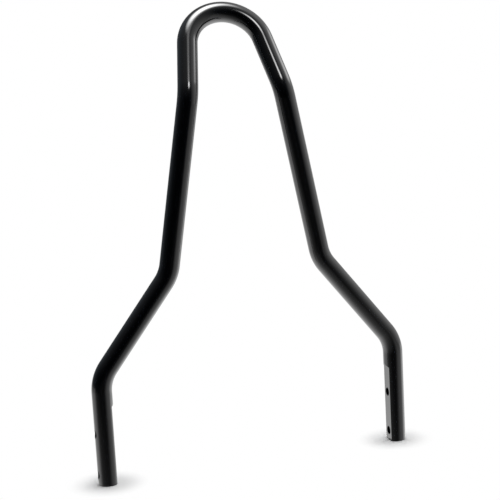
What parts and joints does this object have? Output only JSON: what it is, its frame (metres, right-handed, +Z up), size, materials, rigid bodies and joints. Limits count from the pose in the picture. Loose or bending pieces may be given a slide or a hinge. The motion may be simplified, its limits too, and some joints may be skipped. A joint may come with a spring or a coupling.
{
  "type": "sissy bar",
  "caption": "Tall bent round bar for a motorcycle's passenger rest: narrow leaning loop on tapered uprights, angled shoulders and straight legs with drilled inner flats.",
  "frame": {"origin": "midway between the two legs on their axes' plane, at the middle height of the bolt rows", "axes": "+X to the right seen from the front, +Y to the back, the way the loop leans, +Z up along the legs"},
  "size_m": [0.309, 0.06, 0.4351],
  "materials": {
    "black_coat": "gloss black coat on solid round steel bar"
  },
  "bodies": {
    "root": {"sissy_bar": "black_coat"}
  },
  "joints": []
}
